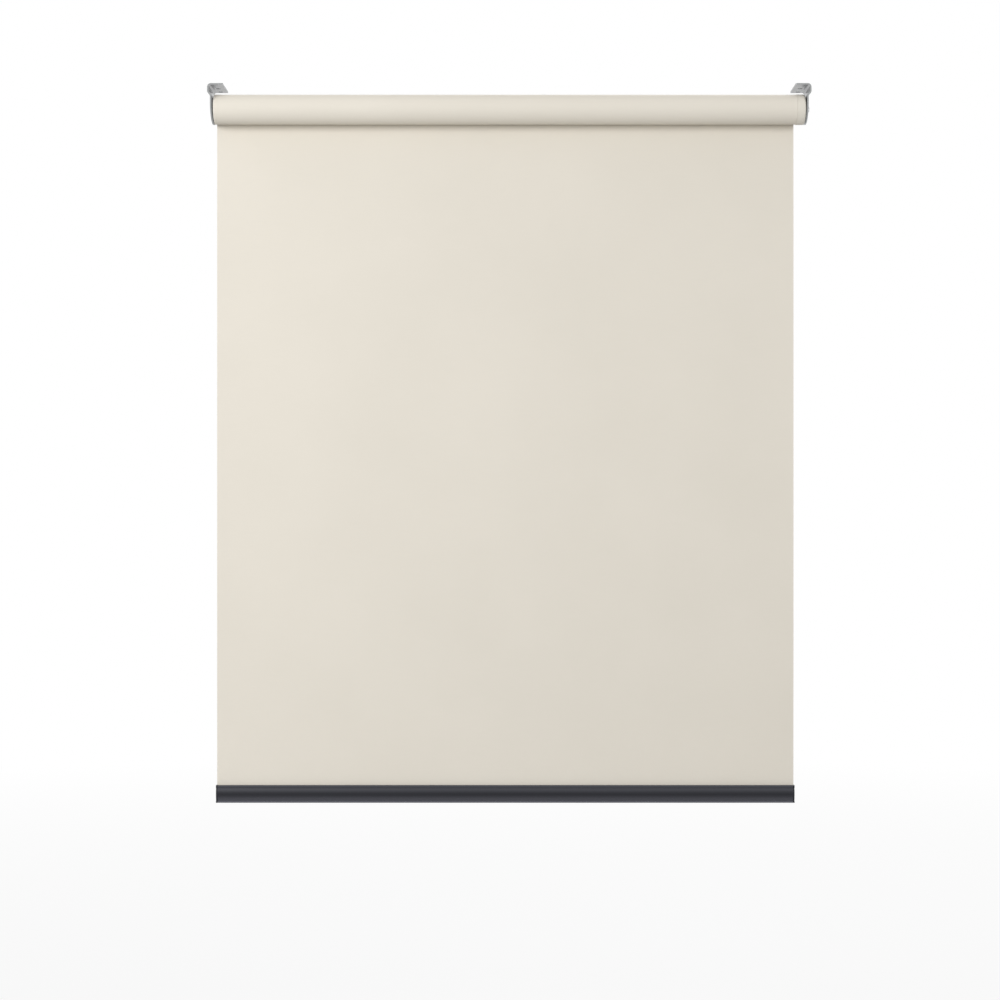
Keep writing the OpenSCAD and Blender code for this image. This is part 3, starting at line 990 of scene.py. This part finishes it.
@dataclass
class Roller:
    """Tube, plug, cap, shaft and springs, with the finishes of their metals and mouldings.

    Attributes:
        white: Solids of white moulding.
        steel: Solids of turned and plated steel.
        stamped: Spring clips.
        coils: The three springs.
        alloy: Finish of the tube.
        cream: Finish of the spring cap.
        moulding: Finish of the white mouldings.
        turned: Finish of the turned steel.
        sprung: Finish of the springs and clips.
    """

    white: tuple[str, ...] = (
        "tube_strip",
        "pin_plug",
        "cap_bush",
        "lift_anchor",
        "lift_follower",
        "hem_strip",
    )
    steel: tuple[str, ...] = ("pin", "shaft", "brake_drum", "anchor_pin", "shaft_washer")
    stamped: tuple[str, ...] = ("pin_clip", "shaft_clip")
    coils: tuple[Coil, ...] = (
        Coil("pin_spring", wire=0.0007, radius=0.0028, turns=7, push="pin_push"),
        Coil("brake_spring", wire=0.001, radius=0.0065666, turns=10, end=180.0, flare=0.0013),
        Coil("lift_spring", wire=0.0014, radius=0.0052, turns=30),
    )
    alloy: Finish = DrawnMetal("tube_alloy", (0.74, 0.75, 0.77), (0.66, 0.67, 0.69), (0.30, 0.48))
    cream: Finish = Moulding("cream_cap", (0.775, 0.735, 0.650), (0.755, 0.715, 0.632), (0.38, 0.52))
    moulding: Finish = Moulding("white_moulding", (0.86, 0.86, 0.84), (0.83, 0.83, 0.81), (0.36, 0.50))
    turned: Finish = DrawnMetal("turned_steel", (0.68, 0.68, 0.69), (0.58, 0.58, 0.60), (0.18, 0.34))
    sprung: Finish = DrawnMetal("spring_wire", (0.44, 0.44, 0.46), (0.34, 0.34, 0.37), (0.24, 0.40))

    def build(self) -> None:
        """Dresses the solids and winds the springs."""
        dress(self.alloy.material(), "roller_tube")
        dress(self.cream.material(), "spring_cap")
        dress(self.moulding.material(), *self.white)
        dress(self.turned.material(), *self.steel)
        wire = self.sprung.material()
        dress(wire, *self.stamped)
        _, axis_y, axis_z = joint("roller_turn")["pos_m"]
        for coil in self.coils:
            coil.build((axis_y, axis_z), wire)


@dataclass
class Brackets:
    """The two joggled brackets of plated steel.

    Attributes:
        nodes: Solids of the brackets.
        rim_depth: Depth of the bare rim that the shears leave.
        tone: Main colour of the plate.
        second: Colour that it varies towards.
        rough: Lowest and highest roughness of the plate.
    """

    nodes: tuple[str, str] = ("left_bracket", "right_bracket")
    rim_depth: float = 0.0001
    tone: Colour = (0.33, 0.335, 0.34)
    second: Colour = (0.28, 0.285, 0.29)
    rough: Pair = (0.20, 0.27)

    def build(self) -> None:
        """Dresses both brackets in grey plate with a bare rim."""
        low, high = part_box(self.nodes[0])
        half = (high.y - low.y) / 2
        plate = PlatedSheet(
            "grey_plate",
            self.tone,
            self.second,
            self.rough,
            middle=(low.y + high.y) / 2,
            foot=low.z + half,
            half=half - self.rim_depth,
        )
        dress(plate.material(), *self.nodes)


@dataclass
class BottomBar:
    """The weighted bar and its two end caps.

    Attributes:
        caps: Solids of the end caps.
        tone: Main colour of the bar's coat.
        second: Colour that it varies towards.
        rough: Lowest and highest roughness of the coat.
        cap_tone: Main colour of the caps.
        cap_second: Colour that it varies towards.
        cap_rough: Lowest and highest roughness of the caps.
        cap_shine: Specular level of the caps.
    """

    caps: tuple[str, str] = ("left_bar_cap", "right_bar_cap")
    tone: Colour = (0.017, 0.0175, 0.022)
    second: Colour = (0.020, 0.0205, 0.026)
    rough: Pair = (0.30, 0.42)
    cap_tone: Colour = (0.018, 0.019, 0.024)
    cap_second: Colour = (0.022, 0.023, 0.029)
    cap_rough: Pair = (0.36, 0.50)
    cap_shine: float = 0.2

    def build(self) -> None:
        """Dresses the bar in powder coat and the caps in dark moulding."""
        low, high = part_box("bottom_bar")
        tones = (self.tone, self.second)
        # The coat paints highlights along the bar's lips.
        coat = CoatedBar("anthracite_coat", *tones, self.rough, under=low.z, top=high.z)
        dress(coat.material(), "bottom_bar")
        tones = (self.cap_tone, self.cap_second)
        dark = Moulding("anthracite_moulding", *tones, self.cap_rough, shine=self.cap_shine)
        dress(dark.material(), *self.caps)


# Studio


@dataclass(frozen=True)
class Lamp:
    """One soft box.

    Attributes:
        name: Name of the lamp.
        place: Where it stands.
        size: Width and height of its face.
        power: Watts.
    """

    name: str
    place: Point
    size: Pair
    power: float

    def light(self, aim: Point) -> None:
        """Hangs the lamp, which the camera doesn't see.

        Args:
            aim: Point that it is turned to.
        """
        data = bpy.data.lights.new(self.name, "AREA")
        data.shape = "RECTANGLE"
        data.size, data.size_y = self.size
        data.energy = self.power
        lamp = bpy.data.objects.new(self.name, data)
        lamp.location = self.place
        lamp.rotation_euler = (Vector(aim) - Vector(self.place)).to_track_quat("-Z", "Y").to_euler()
        lamp.visible_camera = False
        bpy.context.scene.collection.objects.link(lamp)


@dataclass
class Studio:
    """Camera, lamps, floor and surroundings.

    The camera stands level in front of the blind. With the focal length in pixels, a point
    falls on the column centre + focal x / (distance + y) and on the row
    centre - focal (z - height) / (distance + y).

    Attributes:
        distance: Distance of the camera before the screw line.
        height: Height of the camera from the fixing plane.
        focal: Focal length in pixels.
        centre: Pixel that the camera looks straight at.
        image: Width of the image in pixels.
        sensor: Width of the sensor in millimetres.
        reach: Distance to which the camera sees.
        floor_z: Height of the floor.
        floor_half: Half the side of the floor.
        floor_points: Points along each side of the floor.
        floor_grey: Grey of the floor's paint.
        glow: Share of plain white in what the eye sees of the floor, near and far.
        glow_band: Distances from the origin between which that share rises.
        aim: Point that the lamps are turned to.
        ambient: Strength of the light from all round.
        lamps: The soft boxes.
    """

    distance: float = 2.014
    height: float = -0.4337
    focal: float = 2002.0
    centre: Pair = (509.3, 520.0)
    image: float = 1000.0
    sensor: float = 36.0
    reach: float = 100.0
    floor_z: float = -1.25
    floor_half: float = 9.0
    floor_points: int = 9
    floor_grey: float = 0.42
    glow: Pair = (0.9, 1.0)
    glow_band: Pair = (2.0, 5.0)
    aim: Point = (0.0, 0.0, -0.3)
    ambient: float = 0.50
    lamps: tuple[Lamp, ...] = (
        Lamp("key", (-1.15, -1.3, 0.04), (1.2, 0.7), 18.5),
        Lamp("fill", (1.15, -1.3, 0.04), (1.2, 0.7), 6.5),
        Lamp("back", (1.0, 2.2, 1.5), (2.0, 1.6), 58.0),
    )

    def camera(self) -> None:
        """Sets up the level camera."""
        data = bpy.data.cameras.new("camera")
        data.sensor_width = self.sensor
        data.lens = self.focal * self.sensor / self.image
        data.shift_x = (self.image / 2 - self.centre[0]) / self.image
        data.shift_y = (self.centre[1] - self.image / 2) / self.image
        data.clip_end = self.reach
        made = bpy.data.objects.new("camera", data)
        made.location = (0.0, -self.distance, self.height)
        made.rotation_euler = (math.pi / 2, 0.0, 0.0)
        bpy.context.scene.collection.objects.link(made)
        bpy.context.scene.camera = made

    def seen(self, w: Wiring) -> Socket:
        """Finds the rays by which the eye, a mirror or glass sees the background.

        Args:
            w: Wiring of the floor or of the surroundings.

        Returns:
            Mask of those rays.
        """
        rays = w.add("ShaderNodeLightPath").outputs
        shiny = w.math("MAXIMUM", rays["Is Glossy Ray"], rays["Is Transmission Ray"])
        return w.math("MAXIMUM", rays["Is Camera Ray"], shiny)

    def surroundings(self) -> None:
        """Makes all round white to the eye, and an even soft light on the blind."""
        world = bpy.data.worlds.new("studio")
        world.use_nodes = True
        w = Wiring(world.node_tree)
        world.node_tree.nodes.clear()
        soft = w.add("ShaderNodeBackground", {"Color": WHITE, "Strength": self.ambient})
        white = w.add("ShaderNodeBackground", {"Color": WHITE, "Strength": 1.0})
        both = w.add("ShaderNodeMixShader", {0: self.seen(w), 1: soft.outputs[0], 2: white.outputs[0]})
        w.add("ShaderNodeOutputWorld", {"Surface": both.outputs[0]})
        bpy.context.scene.world = world

    def floor_paint(self) -> bpy.types.Material:
        """Mixes the floor's paint, which looks white and still takes the shadow.

        Returns:
            The material, grey to the lamps and mostly plain white to the eye.
        """
        paint = bpy.data.materials.new("pale_floor")
        paint.use_nodes = True
        w = Wiring(paint.node_tree)
        paint.node_tree.nodes.clear()
        grey = w.add("ShaderNodeBsdfDiffuse", {"Color": (*[self.floor_grey] * 3, 1.0)})
        white = w.add("ShaderNodeEmission", {"Color": WHITE, "Strength": 1.0})
        at = w.place(Coordinates.OBJECT)
        away = w.add("ShaderNodeVectorMath", {0: at}, operation="LENGTH").outputs["Value"]
        share = w.math("MULTIPLY", self.seen(w), w.spread(away, self.glow, self.glow_band))
        both = w.add("ShaderNodeMixShader", {0: share, 1: grey.outputs[0], 2: white.outputs[0]})
        w.add("ShaderNodeOutputMaterial", {"Surface": both.outputs[0]})
        return paint

    def floor(self) -> None:
        """Lays the floor, a flat square grid."""
        side = np.linspace(-self.floor_half, self.floor_half, self.floor_points)
        x, y = np.meshgrid(side, side)
        points = np.stack([x, y, np.full_like(x, self.floor_z)], -1).reshape(-1, 3)
        faces = lattice(self.floor_points, self.floor_points)
        flat = Surface(points, faces.tolist(), points[:, :2], np.zeros(len(faces), int))
        flat.piece("floor", [self.floor_paint()])

    def build(self) -> None:
        """Sets up camera, surroundings, floor and lamps."""
        bpy.context.scene.view_settings.view_transform = "Standard"
        self.camera()
        self.surroundings()
        self.floor()
        for lamp in self.lamps:
            lamp.light(self.aim)


def main() -> None:
    """Builds the blind and its studio in order."""
    logging.basicConfig(level=logging.INFO, format="%(message)s")
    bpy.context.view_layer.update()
    Studio().build()
    Brackets().build()
    Roller().build()
    Fabric().build()
    BottomBar().build()


if __name__ == "__main__":
    main()
